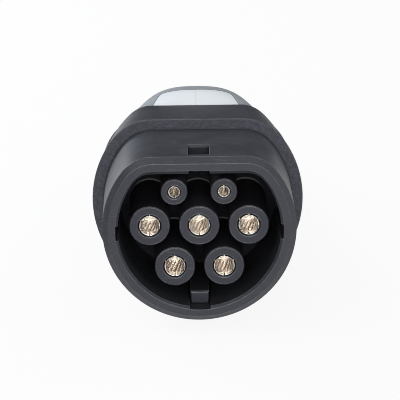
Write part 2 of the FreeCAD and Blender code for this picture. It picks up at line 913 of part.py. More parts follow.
def gland_claw():
    """Ring with slit fingers that the nut squeezes on to the seal."""
    place = (0.0, gland_height)
    start = handle_rear + gland_thread_length
    end = start + seal_length / 2
    ring = cone(gland_thread_radius, gland_bore + claw_tip_wall, start, end, place)
    ring = ring.cut(rod(gland_bore, start - overrun, end + overrun, place))
    slits = []
    for index in range(claw_fingers):
        length = (start + claw_ring_length, end + overrun)
        slit = block((0, gland_flange_radius), length, (-claw_slit / 2, claw_slit / 2))
        slit.rotate(vec(0, 0, 0), vec(0, 1, 0), index * 360.0 / claw_fingers)
        slit.translate(vec(0, 0, gland_height))
        slits.append(slit)
    return ring.cut(slits[0].fuse(slits[1:]))


def revolve_about_gland(points):
    """Solid of revolution about the gland's axis, from (radius, place) pairs."""
    outline = [vec(radius, y, gland_height) for radius, y in points]
    face = Part.Face(Part.makePolygon(outline + [outline[0]]))
    return face.revolve(vec(0, 0, gland_height), vec(0, 1, 0), 360)


def gland_nut():
    """Cap nut with a hexagonal skirt and a round nose."""
    start = handle_rear + nut_gap
    hex_end = start + nut_hex_length
    end = start + nut_length
    claw_start = handle_rear + gland_thread_length
    claw_end = claw_start + seal_length / 2 + nut_end_gap
    outside = revolve_about_gland([
        (0.0, start),
        (nut_radius - nut_edge, start),
        (nut_radius, start + nut_edge),
        (nut_radius, hex_end - nut_hex_bevel),
        (nut_radius - nut_hex_step, hex_end),
        (nut_nose_radius + nut_nose_swell, end - nut_nose_length),
        (nut_nose_radius - nut_nose_bevel, end),
        (0.0, end),
    ])
    flats = []
    for index in range(6):
        side = block((nut_hex_flats / 2, reach), (start - overrun, end + overrun), (-reach / 2, reach / 2))
        side.rotate(vec(0, 0, 0), vec(0, 1, 0), 30.0 + index * 60.0)
        side.translate(vec(0, 0, gland_height))
        flats.append(side)
    outside = outside.cut(flats[0].fuse(flats[1:]))
    thread_hole = gland_thread_radius + gland_fit
    inside = revolve_about_gland([
        (0.0, start - overrun),
        (thread_hole, start - overrun),
        (thread_hole, claw_start),
        (gland_bore + claw_tip_wall + gland_fit, claw_end),
        (nut_hole_radius, claw_end),
        (nut_hole_radius, end + overrun),
        (0.0, end + overrun),
    ])
    return outside.cut(inside)


def save(name, shape):
    solids = shape if isinstance(shape, list) else shape.Solids
    result = solids[0] if len(solids) == 1 else Part.makeCompound(solids)
    result.exportStep("parts/" + name + ".step")
    volume = sum(solid.Volume for solid in solids)
    valid = all(solid.isValid() for solid in solids)
    print("%-20s solids %d  volume %9.1f mm3  valid %s" % (name, len(solids), volume, valid))


os.makedirs("parts", exist_ok=True)
save("front_housing", front_housing())
save("contact_carrier", contact_carrier())
save("carrier_seal", carrier_seal())
save("contact_retainer", contact_retainer())
save("retainer_screws", retainer_screws())
save("coding_resistor", coding_resistor())
for contact_name, contact_place, contact_kind in contacts:
    save("socket_" + contact_name, socket(contact_kind, contact_place))
    save("louvre_" + contact_name, louvre_cage(contact_kind, contact_place))
handle = handle_body()
save("handle_lower", handle_lower(handle))
save("handle_upper", handle_upper(handle))
save("label_plate", label_plate())
save("shell_screws", shell_screws())
save("housing_gasket", housing_gasket())
save("cable_clamp", cable_clamp())
save("clamp_screws", clamp_screws())
save("gland_body", gland_body())
save("gland_seal", gland_seal())
save("gland_claw", gland_claw())
save("gland_nut", gland_nut())
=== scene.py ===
import math

import bpy
from mathutils import Matrix, Vector


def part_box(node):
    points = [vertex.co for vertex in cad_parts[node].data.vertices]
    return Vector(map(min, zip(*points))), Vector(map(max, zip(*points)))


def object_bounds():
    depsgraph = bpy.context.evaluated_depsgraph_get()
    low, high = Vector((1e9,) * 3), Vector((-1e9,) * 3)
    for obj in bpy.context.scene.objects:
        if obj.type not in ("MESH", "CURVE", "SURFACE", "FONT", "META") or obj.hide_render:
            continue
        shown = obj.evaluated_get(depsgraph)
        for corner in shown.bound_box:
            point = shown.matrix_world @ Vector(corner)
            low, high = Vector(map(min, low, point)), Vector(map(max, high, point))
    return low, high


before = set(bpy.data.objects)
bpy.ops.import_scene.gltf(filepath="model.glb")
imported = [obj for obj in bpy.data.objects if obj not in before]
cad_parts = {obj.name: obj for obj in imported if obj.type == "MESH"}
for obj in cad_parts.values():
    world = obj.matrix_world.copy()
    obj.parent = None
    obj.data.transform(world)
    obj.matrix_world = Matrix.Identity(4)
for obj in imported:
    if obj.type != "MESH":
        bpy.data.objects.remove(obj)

cad_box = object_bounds()

bl_info = {
    "name": "Charging Connector",
    "version": (1, 0, 0),
    "blender": (4, 5, 0),
    "location": "View3D > Sidebar > Connector",
    "description": "Finishes and stages the vehicle-side connector of a charging cable",
    "category": "Object",
}

MM = 0.001
BLACK = (0.0, 0.0, 0.0)
WHITE = (1.0, 1.0, 1.0)
SKY_WHITE = (0.92, 0.95, 1.0)
COOL_WHITE = (0.87, 0.9, 1.0)
UP = Vector((0.0, 0.0, 1.0))

# Kinds of socket on the node groups
NUMBER_SOCKET = "NodeSocketFloat"
VECTOR_SOCKET = "NodeSocketVector"

# Numbers of the sockets on a Mix node that mixes colours
MIX_FACTOR = 0
MIX_FIRST = 6
MIX_SECOND = 7
MIX_RESULT = 2

# The contacts' names, the planes of the rim and the towers' faces, and the level that the connector stands on
CONTACTS = sorted(name.split("_", 1)[1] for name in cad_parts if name.startswith("socket_"))
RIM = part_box("front_housing")[0].y
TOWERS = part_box("contact_carrier")[0].y
FLOOR = min(cad_box[0].z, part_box("front_housing")[0].z)

# Moulded plastic: how far each effect moves the roughness, how rubbed plastic and the painted edge highlights
# pale, and the grain's depth
MOTTLE_ROUGHNESS = 0.03
WORN_SMOOTHNESS = 0.25
SHADE_ROUGHNESS = 0.5
DUST_ROUGHNESS = 0.4
RUBBED_AND_HIGHLIT_GAIN = 2.0
SCUFF_LIFT = 0.03
GRAIN_DEPTH = 0.02 * MM

# The collar's coarser face: shares of the colour in its dark and pale grains, and the pale ones' extra red;
# the grain is real, and its paler average is painted light on the face
COARSE_DARK = 0.9
COARSE_PALE_LIT = 1.75
COARSE_RED = 1.05

# Plated metal: where it has dulled, its lathe lines and its edges
TARNISH_SHARE = 0.1
TARNISH_ROUGHNESS = 0.25
LATHE_DEPTH = 0.01 * MM
METAL_EDGE_RADIUS = 0.08 * MM

# Label film: its fold is a line that fades out between two distances from the middle
FOLD_CORE = 0.12 * MM
FOLD_END = 0.3 * MM
FOLD_SHARE = 0.25
LABEL_GRAIN = 0.8 * MM
LABEL_MOTTLE = 0.98
LABEL_ROUGHNESS = 0.38
LABEL_BUMP = 0.1

# Lights, in metres: name, place, width and height, the name of the power, and colour
LIGHTS = (
    ("front_softbox", (0.0, -1.2, 0.35), (0.6, 0.4), "front", WHITE),
    ("key_softbox", (-0.6, -0.75, 0.45), (0.5, 0.5), "key", WHITE),
    ("top_softbox", (-0.6, 0.1, 0.75), (0.5, 0.5), "top", SKY_WHITE),
    ("edge_strip", (-0.6, 0.65, 0.35), (0.3, 0.4), "edge", COOL_WHITE),
    ("kick_strip", (0.75, 0.5, 0.2), (0.3, 0.4), "kick", COOL_WHITE),
)
LIGHT_TARGET = (0.0, 0.04, 0.0)

# Floor and dark flags, in metres: one flag stands across the back, the other along the shroud's left side
FLOOR_HALF = 3.0
FLOOR_GREY = (0.86, 0.86, 0.86)
FLAG_BLACK = (0.01, 0.01, 0.01)
BACK_FLAG_Y = 0.9
BACK_FLAG_HALF = 0.6
BACK_FLAG_LEFT_FOOT = 0.12
BACK_FLAG_TOP = 0.9
SIDE_FLAG_X = -0.08
SIDE_FLAG_FRONT = -0.3
SIDE_FLAG_BACK = 0.01
SIDE_FLAG_TOP = 0.1

# Camera: sensor in millimetres, range in metres, filter in pixels
SENSOR_WIDTH = 36.0
NEAREST_SEEN = 0.01
FARTHEST_SEEN = 20.0
PIXEL_FILTER = 1.0


def colour_property(name, description, default):
    return bpy.props.FloatVectorProperty(
        name=name, description=description, subtype="COLOR", size=3, min=0.0, max=1.0, default=default
    )


def length_property(name, description, default):
    return bpy.props.FloatProperty(
        name=name, description=description, unit="LENGTH", min=0.0, precision=5, default=default
    )


def factor_property(name, description, default):
    return bpy.props.FloatProperty(
        name=name, description=description, subtype="FACTOR", min=0.0, max=1.0, default=default
    )


def angle_property(name, description, degrees):
    return bpy.props.FloatProperty(
        name=name, description=description, subtype="ANGLE", default=math.radians(degrees)
    )


def number_property(name, description, default):
    return bpy.props.FloatProperty(name=name, description=description, min=0.0, default=default)


class ConnectorFinishes(bpy.types.PropertyGroup):
    """Colours and surface values of the connector's materials."""

    housing: colour_property("Housing", "Shroud and collar", (0.0345, 0.0375, 0.0485))
    carrier: colour_property("Carrier", "Towers round the contacts", (0.029, 0.0305, 0.043))
    handle_top: colour_property("Handle top", "Grey upper half of the handle", (0.315, 0.342, 0.365))
    handle_base: colour_property("Handle base", "Dark lower half of the handle", (0.040, 0.041, 0.046))
    label: colour_property("Label", "Plain film on the label plate", (0.79, 0.825, 0.86))
    label_fold: colour_property("Label fold", "Thin line down the middle of the label", (0.50, 0.53, 0.57))
    sleeve: colour_property("Sleeve", "Plating of the turned sockets", (0.98, 0.95, 0.90))
    cage: colour_property("Cage", "Plating of the spring cages", (1.0, 0.88, 0.77))
    tarnish: colour_property("Tarnish", "Plating where it has dulled", (0.62, 0.44, 0.34))
    gland: colour_property("Gland", "Cap nut and body of the cable gland", (0.036, 0.037, 0.042))
    rubber: colour_property("Rubber", "Seals", (0.018, 0.018, 0.019))
    steel: colour_property("Steel", "Screws", (0.56, 0.57, 0.60))
    inner: colour_property("Inner", "Moulded pieces inside the handle", (0.09, 0.09, 0.10))
    resistor: colour_property("Resistor", "Glaze on the coding resistor", (0.10, 0.23, 0.38))
    dust: colour_property("Dust", "Fine dust that has settled on plastic", (0.20, 0.20, 0.21))
    wall_shade: length_property("Wall shade", "Where the cavity's wall darkens, behind the rim", 0.1 * MM)
    tower_shade: length_property("Tower shade", "Where the towers darken, behind their faces", 0.25 * MM)
    shade_length: length_property("Shade length", "How gradually the walls darken", 0.45 * MM)
    depth_shade: factor_property("Depth shade", "Share of the colour left on the cavity's walls", 0.4)
    # Colour of the painted highlight on the rounded corners at the towers' roots
    painted_root_highlight: colour_property("Root gleam", "Rounded corners at the towers' roots", (0.2, 0.195, 0.175))
    edge_radius: length_property("Edge radius", "Softness of the moulded edges", 0.35 * MM)
    # Painted highlights along the edges, together with their polish by handling
    highlight_and_rubbing: factor_property("Edge wear", "How much the edges are polished by handling", 0.6)


class ConnectorStage(bpy.types.PropertyGroup):
    """Camera, lights and floor."""

    elevation: angle_property("Elevation", "Camera's height above the horizon", 17.3)
    yaw: angle_property("Yaw", "Camera's turn about the upright axis", 0.9)
    roll: angle_property("Roll", "Camera's lean about its own axis", 0.5)
    distance: length_property("Distance", "From the camera to the front of the connector", 650 * MM)
    shift_right: length_property("Aim right", "Camera's move to its own right", 0.13 * MM)
    shift_up: length_property("Aim up", "Camera's move to its own top", 9.71 * MM)
    lens: number_property("Lens", "Focal length on a 36 mm sensor, in mm", 183.1)
    ambient: number_property("Ambient", "Light from all round", 0.5)
    front: number_property("Front light", "Power of the softbox above the camera, in watts", 6.7)
    key: number_property("Key light", "Power of the softbox at the front left, in watts", 1.3)
    top: number_property("Top light", "Power of the softbox high on the left, in watts", 1.7)
    edge: number_property("Edge light", "Power of the strip behind the left side, in watts", 3.7)
    kick: number_property("Kick light", "Power of the strip behind the right side, in watts", 0.65)
    floor_white: factor_property("Floor white", "Share of the floor that ignores shadows", 0.9)


class Graph:
    """Short calls that add nodes to a tree and link them."""

    def __init__(self, tree):
        self.tree = tree

    def node(self, kind, inputs=None, **settings):
        made = self.tree.nodes.new(kind)
        for key, value in settings.items():
            setattr(made, key, value)
        for key, value in (inputs or {}).items():
            self.feed(made.inputs[key], value)
        return made

    def feed(self, target, value):
        """Link a socket to a target, or give the target a plain value."""
        if isinstance(value, bpy.types.NodeSocket):
            self.tree.links.new(value, target)
        else:
            target.default_value = value

    def math(self, operation, first, second=0.0, clamp=False):
        made = self.node("ShaderNodeMath", {0: first, 1: second}, operation=operation, use_clamp=clamp)
        return made.outputs[0]

    def product(self, first, second, clamp=False):
        return self.math("MULTIPLY", first, second, clamp)

    def rest(self, share):
        """What a share leaves of 1."""
        return self.math("SUBTRACT", 1.0, share)

    def span(self, value, low, high, first=0.0, last=1.0):
        """Map a value from one range to another, with smooth ends."""
        inputs = {"Value": value, "From Min": low, "From Max": high, "To Min": first, "To Max": last}
        made = self.node("ShaderNodeMapRange", inputs, interpolation_type="SMOOTHSTEP")
        return made.outputs["Result"]

    def blend(self, factor, first, second):
        """Mix two colours."""
        made = self.node("ShaderNodeMix", data_type="RGBA")
        self.feed(made.inputs[MIX_FACTOR], factor)
        self.feed(made.inputs[MIX_FIRST], first)
        self.feed(made.inputs[MIX_SECOND], second)
        return made.outputs[MIX_RESULT]

    def noise(self, vector, scale, detail, roughness):
        inputs = {"Vector": vector, "Scale": scale, "Detail": detail, "Roughness": roughness}
        return self.node("ShaderNodeTexNoise", inputs).outputs["Fac"]

    def blotches(self, size, detail, roughness):
        """Noise over the object, with blotches about as wide as a size."""
        return self.noise(self.place(), self.math("DIVIDE", 1.0, size), detail, roughness)

    def scaled(self, vector, scale):
        """A vector times a scale, along each axis."""
        inputs = {0: vector, 1: scale}
        return self.node("ShaderNodeVectorMath", inputs, operation="MULTIPLY").outputs["Vector"]

    def alignment(self, first, second):
        """1 where two directions are the same, and less where they part."""
        inputs = {0: first, 1: second}
        return self.node("ShaderNodeVectorMath", inputs, operation="DOT_PRODUCT").outputs["Value"]

    def axes(self, vector):
        """X, Y and Z of a vector."""
        return self.node("ShaderNodeSeparateXYZ", {0: vector}).outputs[:3]

    def place(self):
        return self.node("ShaderNodeTexCoord").outputs["Object"]

    def normal(self):
        return self.node("ShaderNodeNewGeometry").outputs["Normal"]

    def bump(self, strength, depth, height, normal=None):
        inputs = {"Strength": strength, "Distance": depth, "Height": height}
        if normal is not None:
            inputs["Normal"] = normal
        return self.node("ShaderNodeBump", inputs).outputs["Normal"]

    def put_out(self, outputs):
        """Give a node group its named outputs, and return the group."""
        for label, value in outputs.items():
            kind = VECTOR_SOCKET if value.type == "VECTOR" else NUMBER_SOCKET
            self.tree.interface.new_socket(name=label, in_out="OUTPUT", socket_type=kind)
        self.node("NodeGroupOutput", outputs)
        return self.tree


def new_group(name, inputs):
    """Node group with named inputs, as (its graph, the sockets that bring the inputs in)."""
    group = bpy.data.node_groups.new(name, "ShaderNodeTree")
    for label, default in inputs.items():
        kind = VECTOR_SOCKET if isinstance(default, tuple) else NUMBER_SOCKET
        made = group.interface.new_socket(name=label, in_out="INPUT", socket_type=kind)
        made.default_value = default
    graph = Graph(group)
    return graph, graph.node("NodeGroupInput").outputs


def moulded_grain_group(name):
    """Spark-eroded grain of moulded plastic: a height, a speckle for colour, and a slow mottle."""
    graph, given = new_group(name, {"Grain size": 0.35 * MM, "Speckle size": 0.5 * MM, "Mottle size": 9 * MM})
    noise_range = (0.3, 0.7)
    fine = graph.blotches(given["Grain size"], detail=3.0, roughness=0.6)
    speckle = graph.blotches(given["Speckle size"], detail=2.0, roughness=0.7)
    slow = graph.blotches(given["Mottle size"], detail=3.0, roughness=0.55)
    return graph.put_out({
        "Height": fine,
        "Speckle": graph.span(speckle, *noise_range),
        "Mottle": graph.span(slow, *noise_range),
    })


def crevice_shade_group(name):
    """Painted shade: share of the colour left in tight inner corners, where shade falls, and a mask that is 1
    away from them.
    """
    graph, given = new_group(name, {"Reach": 1.0 * MM, "Deep share": 0.25})
    dark_range = (0.5, 0.85)
    open_range = (0.75, 0.95)
    seen = graph.node("ShaderNodeAmbientOcclusion", {"Distance": given["Reach"]}, samples=8).outputs["AO"]
    return graph.put_out({
        "Share": graph.span(seen, *dark_range, given["Deep share"], 1.0),
        "Open": graph.span(seen, *open_range),
    })


def painted_root_highlight_group(name):
    """Mask of the rounded inner corners that face up, deep in the cavity, for the painted highlight that
    stands for the light they catch.
    """
    graph, given = new_group(name, {"Soft normal": (0.0, 0.0, 1.0), "Start": 25 * MM})
    up_range = (0.45, 0.7)
    out_range = (-0.2, -0.5)
    out_ward, up_ward = graph.axes(given["Soft normal"])[1:]
    tilted = graph.product(graph.span(up_ward, *up_range), graph.span(out_ward, *out_range))
    deep = graph.math("GREATER_THAN", graph.axes(graph.place())[1], given["Start"])
    return graph.put_out({"Mask": graph.product(tilted, deep)})


def scuff_group(name):
    """Mask of faint rub marks, drawn out sideways and broken into patches."""
    graph, given = new_group(name, {"Length": 7 * MM, "Width": 0.6 * MM, "Patch size": 11 * MM})
    streak_range = (0.53, 0.77)
    patch_range = (0.46, 0.65)
    along = graph.math("DIVIDE", 1.0, given["Length"])
    across = graph.math("DIVIDE", 1.0, given["Width"])
    stretch = graph.node("ShaderNodeCombineXYZ", {0: along, 1: across, 2: across}).outputs[0]
    streaks = graph.noise(graph.scaled(graph.place(), stretch), scale=1.0, detail=4.0, roughness=0.65)
    patches = graph.blotches(given["Patch size"], detail=3.0, roughness=0.6)
    mask = graph.product(graph.span(streaks, *streak_range), graph.span(patches, *patch_range))
    return graph.put_out({"Mask": mask})


def edge_highlight_and_rubbing_group(name):
    """Soft edge normal, and a mask that is 1 along sharp outer edges, patchy and fainter on upright ones, for
    painted edge highlights and polish.
    """
    graph, given = new_group(name, {
        "Radius": 0.3 * MM, "Patch size": 3 * MM, "Least patch": 0.4, "Upright share": 0.2,
    })
    sharp_range = (0.998, 0.95)
    patch_range = (0.3, 0.65)
    level_range = (0.05, 0.6)
    soft = graph.node("ShaderNodeBevel", {"Radius": given["Radius"]}, samples=6).outputs["Normal"]
    sharp = graph.span(graph.alignment(soft, graph.normal()), *sharp_range)
    patch = graph.blotches(given["Patch size"], detail=4.0, roughness=0.6)
    patchy = graph.span(patch, *patch_range, given["Least patch"], 1.0)
    level = graph.math("ABSOLUTE", graph.axes(soft)[2])
    touched = graph.product(patchy, graph.span(level, *level_range, given["Upright share"], 1.0))
    return graph.put_out({"Normal": soft, "Mask": graph.product(sharp, touched, clamp=True)})


def coarse_lit_face_group(name):
    """Mask of the front face that the inlet stops on, which is painted lighter, and the coarser grain that it
    has.
    """
    graph, given = new_group(name, {"Start": 30 * MM, "Grain size": 0.7 * MM})
    front_range = (-0.8, -0.95)
    grain_range = (0.35, 0.65)
    behind = graph.math("GREATER_THAN", graph.axes(graph.place())[1], given["Start"])
    faces_front = graph.span(graph.axes(graph.normal())[1], *front_range)
    grain = graph.blotches(given["Grain size"], detail=2.0, roughness=0.8)
    return graph.put_out({
        "Face": graph.product(behind, faces_front),
        "Grain": graph.span(grain, *grain_range),
    })


def cavity_shade_group(name):
    """Share of the colour that is left behind the rim, inside the shroud's opening, and how dull it is."""
    graph, given = new_group(name, {
        "Wall start": 0.1 * MM,
        "Wall length": 0.5 * MM,
        "Deep share": 0.1,
        "Face start": 10 * MM,
        "Face share": 0.6,
        "Wall dullness": 0.25,
        "Opening radius": 27.2 * MM,
        "Opening top": 21.5 * MM,
        "Face top": 23.4 * MM,
    })
    out_range = (-0.3, -0.6)
    down_range = (-0.55, -0.25)
    x, y, z = graph.axes(graph.place())
    out_ward, up_ward = graph.axes(graph.normal())[1:]
    looks_out = graph.product(graph.span(out_ward, *out_range), graph.span(up_ward, *down_range))
    wall_end = graph.math("ADD", given["Wall start"], given["Wall length"])
    wall = graph.product(graph.span(y, given["Wall start"], wall_end), graph.rest(looks_out))
    wall = graph.product(wall, graph.math("LESS_THAN", z, given["Opening top"]))
    face = graph.product(graph.math("GREATER_THAN", y, given["Face start"]), looks_out)
    face = graph.product(face, graph.math("LESS_THAN", z, given["Face top"]))
    radius = graph.math("SQRT", graph.math("ADD", graph.product(x, x), graph.product(z, z)))
    inside = graph.math("LESS_THAN", radius, given["Opening radius"])
    wall_lost = graph.product(wall, graph.rest(given["Deep share"]))
    face_lost = graph.product(face, graph.rest(given["Face share"]))
    lost = graph.product(inside, graph.math("ADD", wall_lost, face_lost))
    dull = graph.math("ADD", face, graph.product(wall, given["Wall dullness"]))
    return graph.put_out({
        "Share": graph.math("SUBTRACT", 1.0, lost, clamp=True),
        "Dull": graph.product(inside, dull),
    })


def dust_group(name):
    """Mask of fine dust: patchy, and only on what faces up."""
    graph, given = new_group(name, {"Amount": 0.2, "Patch size": 6 * MM, "Specks per metre": 2600.0})
    patch_range = (0.4, 0.75)
    speck_range = (0.42, 0.7)
    up_range = (0.2, 0.95)
    patch = graph.blotches(given["Patch size"], detail=6.0, roughness=0.7)
    speck = graph.noise(graph.place(), given["Specks per metre"], detail=2.0, roughness=0.5)
    specks = graph.product(graph.span(patch, *patch_range), graph.span(speck, *speck_range))
    lying = graph.product(specks, graph.span(graph.axes(graph.normal())[2], *up_range))
    return graph.put_out({"Mask": graph.math("MINIMUM", graph.product(lying, given["Amount"]), 1.0)})


def turned_metal_group(name):
    """Fine lines left by the lathe along Y, with a tarnish mask for plated metal."""
    graph, given = new_group(name, {"Line pitch": 0.12 * MM, "Tarnish size": 2 * MM})
    round_the_axis = (0.04, 1.0, 0.04)
    tarnish_range = (0.42, 0.72)
    drawn = graph.node("ShaderNodeMapping", {"Vector": graph.place(), "Scale": round_the_axis}).outputs[0]
    lines = graph.noise(drawn, graph.math("DIVIDE", 1.0, given["Line pitch"]), detail=2.0, roughness=0.6)
    patch = graph.blotches(given["Tarnish size"], detail=4.0, roughness=0.6)
    return graph.put_out({"Height": lines, "Tarnish": graph.span(patch, *tarnish_range)})


GROUPS = {
    "Moulded grain": moulded_grain_group,
    "Crevice": crevice_shade_group,
    "Root gleam": painted_root_highlight_group,
    "Scuffs": scuff_group,
    "Edge wear": edge_highlight_and_rubbing_group,
    "Coarse face": coarse_lit_face_group,
    "Cavity shade": cavity_shade_group,
    "Settled dust": dust_group,
    "Turned metal": turned_metal_group,
}


def group_node(graph, name, inputs=None):
    """Outputs of a shared node group, which is built the first time it is asked for."""
    group = bpy.data.node_groups.get(name) or GROUPS[name](name)
    return graph.node("ShaderNodeGroup", inputs, node_tree=group).outputs


def new_material(name):
    """Empty material, as (material, graph, its Principled BSDF)."""
    material = bpy.data.materials.new(name)
    material.use_nodes = True
    graph = Graph(material.node_tree)
    return material, graph, material.node_tree.nodes["Principled BSDF"]


def rgba(colour, share=1.0):
    return (colour[0] * share, colour[1] * share, colour[2] * share, 1.0)


def rubbed_and_highlit_colour(colour, lift):
    """Colour of plastic where it is rubbed or polished, also used as the painted highlight along its edges.
    """
    return rgba([min(1.0, channel * RUBBED_AND_HIGHLIT_GAIN + lift) for channel in colour])


def coarse_grained_and_lit(graph, base, colour):
    """Base colour with the collar face's real, rougher grain, painted paler on average as painted light."""
    face = group_node(graph, "Coarse face")
    warm = (colour[0] * COARSE_RED, colour[1], colour[2])
    lit_grain = graph.blend(face["Grain"], rgba(colour, COARSE_DARK), rgba(warm, COARSE_PALE_LIT))
    return graph.blend(face["Face"], base, lit_grain)


def moulded_plastic(
    name, colour, roughness=0.5, grain=0.2, dust=0.15, scuffs=0.5, shade_start=None, specular=0.4,
    highlight_and_polish=0.3, speckle=0.3, mottling=0.15, paint_root_highlight=False, coarse_lit_face=False
):
    """Moulded plastic with its grain, soft and slightly polished edges that carry painted highlights, mottle,
    rub marks, dust, and painted shade in tight corners.
    """
    finish = bpy.context.scene.connector_finishes
    material, graph, shader = new_material(name)
    texture = group_node(graph, "Moulded grain")
    edges = group_node(graph, "Edge wear", {"Radius": finish.edge_radius})
    fallen = group_node(graph, "Settled dust", {"Amount": dust})["Mask"]
    rubbed = group_node(graph, "Scuffs")["Mask"]
    corner = group_node(graph, "Crevice")
    mottle = texture["Mottle"]
    lit_and_rubbed_edges = graph.product(edges["Mask"], corner["Open"])
    if shade_start is not None:
        shade = group_node(graph, "Cavity shade", {
            "Wall start": shade_start,
            "Wall length": finish.shade_length,
            "Deep share": finish.depth_shade,
        })
        lit_and_rubbed_edges = graph.product(lit_and_rubbed_edges, shade["Share"])
    highlight_and_rubbing = graph.product(lit_and_rubbed_edges, finish.highlight_and_rubbing)

    # Colour, one layer on another
    base = graph.blend(mottle, rgba(colour, 1.0 - mottling), rgba(colour, 1.0 + mottling))
    base = graph.blend(texture["Speckle"], rgba(colour, 1.0 - speckle), base)
    # The collar's face: a real, rougher grain, painted lighter on average as painted light
    if coarse_lit_face:
        base = coarse_grained_and_lit(graph, base, colour)
    base = graph.blend(graph.product(rubbed, scuffs), base, rubbed_and_highlit_colour(colour, SCUFF_LIFT))
    base = graph.blend(fallen, base, rgba(finish.dust))
    if shade_start is not None:
        base = graph.blend(shade["Share"], rgba(BLACK), base)
    # Painted shade in tight inner corners
    base = graph.blend(corner["Share"], rgba(BLACK), base)
    # Painted highlights along sharp edges, mixed with their polish by handling
    base = graph.blend(highlight_and_rubbing, base, rubbed_and_highlit_colour(colour, highlight_and_polish))
    # Painted highlight on the up-facing corners at the towers' roots
    if paint_root_highlight:
        root_highlights = group_node(graph, "Root gleam", {"Soft normal": edges["Normal"]})
        base = graph.blend(root_highlights["Mask"], base, rgba(finish.painted_root_highlight))
    graph.feed(shader.inputs["Base Color"], base)

    # Gloss and grain
    rough = graph.span(mottle, 0.0, 1.0, roughness - MOTTLE_ROUGHNESS, roughness + MOTTLE_ROUGHNESS)
    rough = graph.math("SUBTRACT", rough, graph.product(highlight_and_rubbing, WORN_SMOOTHNESS))
    if shade_start is not None:
        rough = graph.math("ADD", rough, graph.product(shade["Dull"], SHADE_ROUGHNESS))
    rough = graph.math("ADD", rough, graph.product(fallen, DUST_ROUGHNESS), clamp=True)
    graph.feed(shader.inputs["Roughness"], rough)
    shader.inputs["Specular IOR Level"].default_value = specular
    bumped = graph.bump(grain, GRAIN_DEPTH, texture["Height"], edges["Normal"])
    graph.feed(shader.inputs["Normal"], bumped)
    return material


def plated_metal(name, colour, roughness, metallic=1.0, lathe_lines=0.15):
    """Turned and plated metal, with lathe lines and patches where the plating has dulled."""
    finish = bpy.context.scene.connector_finishes
    material, graph, shader = new_material(name)
    turned = group_node(graph, "Turned metal")
    edges = group_node(graph, "Edge wear", {"Radius": METAL_EDGE_RADIUS})
    dull = graph.product(turned["Tarnish"], TARNISH_SHARE)
    graph.feed(shader.inputs["Base Color"], graph.blend(dull, rgba(colour), rgba(finish.tarnish)))
    rough = graph.span(dull, 0.0, 1.0, roughness, roughness + TARNISH_ROUGHNESS)
    graph.feed(shader.inputs["Roughness"], rough)
    shader.inputs["Metallic"].default_value = metallic
    bumped = graph.bump(lathe_lines, LATHE_DEPTH, turned["Height"], edges["Normal"])
    graph.feed(shader.inputs["Normal"], bumped)
    return material


def label_film():
    """Pale satin film with a faint fold down its middle."""
    finish = bpy.context.scene.connector_finishes
    material, graph, shader = new_material("Label film")
    texture = group_node(graph, "Moulded grain", {"Grain size": LABEL_GRAIN})
    fold = graph.span(graph.math("ABSOLUTE", graph.axes(graph.place())[0]), FOLD_CORE, FOLD_END, 1.0, 0.0)
    base = graph.blend(texture["Mottle"], rgba(finish.label, LABEL_MOTTLE), rgba(finish.label))
    base = graph.blend(graph.product(fold, FOLD_SHARE), base, rgba(finish.label_fold))
    graph.feed(shader.inputs["Base Color"], base)
    shader.inputs["Roughness"].default_value = LABEL_ROUGHNESS
    graph.feed(shader.inputs["Normal"], graph.bump(LABEL_BUMP, GRAIN_DEPTH, texture["Height"]))
    return material


def finish_node(node, material):
    """Put one material in every slot of a CAD node."""
    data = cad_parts[node].data
    if not data.materials:
        data.materials.append(material)
    for index in range(len(data.materials)):
        data.materials[index] = material


class CONNECTOR_OT_front_housing(bpy.types.Operator):
    """Give the shroud and collar their dark moulded plastic"""

    bl_idname = "connector.front_housing"
    bl_label = "Finish the front housing"

    def execute(self, context):
        finish = context.scene.connector_finishes
        plastic = moulded_plastic(
            "Housing plastic", finish.housing, scuffs=0.9, shade_start=RIM + finish.wall_shade, coarse_lit_face=True
        )
        finish_node("front_housing", plastic)
        return {"FINISHED"}


class CONNECTOR_OT_contact_carrier(bpy.types.Operator):
    """Give the towers and their base a dark plastic, with shade painted in deeper with depth and painted
    highlights at the towers' roots
    """

    bl_idname = "connector.contact_carrier"
    bl_label = "Finish the contact carrier"

    def execute(self, context):
        finish = context.scene.connector_finishes
        plastic = moulded_plastic(
            "Carrier plastic", finish.carrier, dust=0.0, shade_start=TOWERS + finish.tower_shade,
            highlight_and_polish=0.5, speckle=0.45, paint_root_highlight=True
        )
        finish_node("contact_carrier", plastic)
        return {"FINISHED"}


class CONNECTOR_OT_contacts(bpy.types.Operator):
    """Plate the sockets and their spring cages"""

    bl_idname = "connector.contacts"
    bl_label = "Finish the contacts"

    def execute(self, context):
        finish = context.scene.connector_finishes
        sleeve = plated_metal("Sleeve plating", finish.sleeve, roughness=0.2)
        cage = plated_metal("Cage plating", finish.cage, roughness=0.33, metallic=0.7, lathe_lines=0.02)
        for name in CONTACTS:
            finish_node("socket_" + name, sleeve)
            finish_node("louvre_" + name, cage)
        return {"FINISHED"}


class CONNECTOR_OT_handle(bpy.types.Operator):
    """Give the handle halves their grey and dark plastics"""

    bl_idname = "connector.handle"
    bl_label = "Finish the handle"

    def execute(self, context):
        finish = context.scene.connector_finishes
        upper = moulded_plastic(
            "Grey handle plastic", finish.handle_top, roughness=0.55, grain=0.3, scuffs=0.3, highlight_and_polish=0.1,
            speckle=0.12, mottling=0.04
        )
        lower = moulded_plastic("Dark handle plastic", finish.handle_base, roughness=0.6, grain=0.4)
        finish_node("handle_upper", upper)
        finish_node("handle_lower", lower)
        return {"FINISHED"}


class CONNECTOR_OT_label(bpy.types.Operator):
    """Give the label plate its pale satin film"""

    bl_idname = "connector.label"
    bl_label = "Finish the label"

    def execute(self, context):
        finish_node("label_plate", label_film())
        return {"FINISHED"}


